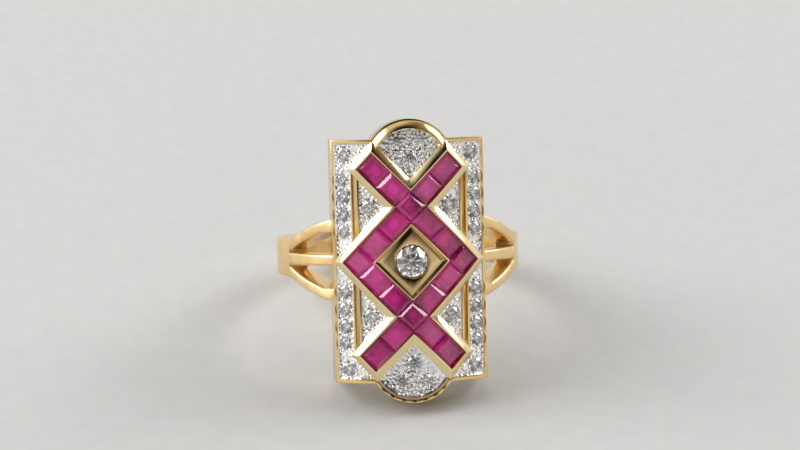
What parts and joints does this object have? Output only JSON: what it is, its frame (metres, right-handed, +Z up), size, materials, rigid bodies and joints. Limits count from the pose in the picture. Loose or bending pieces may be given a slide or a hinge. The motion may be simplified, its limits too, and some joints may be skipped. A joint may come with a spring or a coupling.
{
  "type": "cocktail ring",
  "caption": "Art Deco style panel ring: a lattice of calibre-cut rubies with pave diamond fields on a plate curved round the finger, and a shank forked into bars on each shoulder.",
  "frame": {"origin": "centre of the finger bore, on its axis and level with the middle of the head", "axes": "the ring stands as it rests on a table, leaning back 28 degrees: +Z is up, the head's face looks towards -Y and up, +X is to the right of someone facing the head, and the finger's axis lies in the YZ plane, rising towards +Y"},
  "size_m": [0.0202, 0.0247, 0.021],
  "materials": {
    "shank_gold": "polished",
    "frame_gold": "polished",
    "channel_gold": "polished",
    "dark_plate": "polished",
    "white_gold": "polished",
    "ruby": "polished",
    "diamond": "polished"
  },
  "bodies": {
    "root": {"bottom_dome_diamonds": "diamond", "bottom_dome_plate": "white_gold", "centre_diamond": "diamond", "centre_plate": "dark_plate", "column_rails": "frame_gold", "head_frame": "frame_gold", "lower_left_side_diamonds": "diamond", "lower_left_side_plate": "white_gold", "lower_left_triangle_diamond": "diamond", "lower_left_triangle_plate": "white_gold", "lower_right_side_diamonds": "diamond", "lower_right_side_plate": "white_gold", "lower_right_triangle_diamond": "diamond", "lower_right_triangle_plate": "white_gold", "ruby_channel": "channel_gold", "ruby_left_corner": "ruby", "ruby_lower_junction": "ruby", "ruby_lower_left_arm_1": "ruby", "ruby_lower_left_arm_2": "ruby", "ruby_lower_left_side_1": "ruby", "ruby_lower_left_side_2": "ruby", "ruby_lower_right_arm_1": "ruby", "ruby_lower_right_arm_2": "ruby", "ruby_lower_right_side_1": "ruby", "ruby_lower_right_side_2": "ruby", "ruby_right_corner": "ruby", "ruby_upper_junction": "ruby", "ruby_upper_left_arm_1": "ruby", "ruby_upper_left_arm_2": "ruby", "ruby_upper_left_side_1": "ruby", "ruby_upper_left_side_2": "ruby", "ruby_upper_right_arm_1": "ruby", "ruby_upper_right_arm_2": "ruby", "ruby_upper_right_side_1": "ruby", "ruby_upper_right_side_2": "ruby", "shank": "shank_gold", "top_dome_diamonds": "diamond", "top_dome_plate": "white_gold", "triangle_walls": "frame_gold", "upper_left_side_diamonds": "diamond", "upper_left_side_plate": "white_gold", "upper_left_triangle_diamond": "diamond", "upper_left_triangle_plate": "white_gold", "upper_right_side_diamonds": "diamond", "upper_right_side_plate": "white_gold", "upper_right_triangle_diamond": "diamond", "upper_right_triangle_plate": "white_gold"}
  },
  "joints": []
}
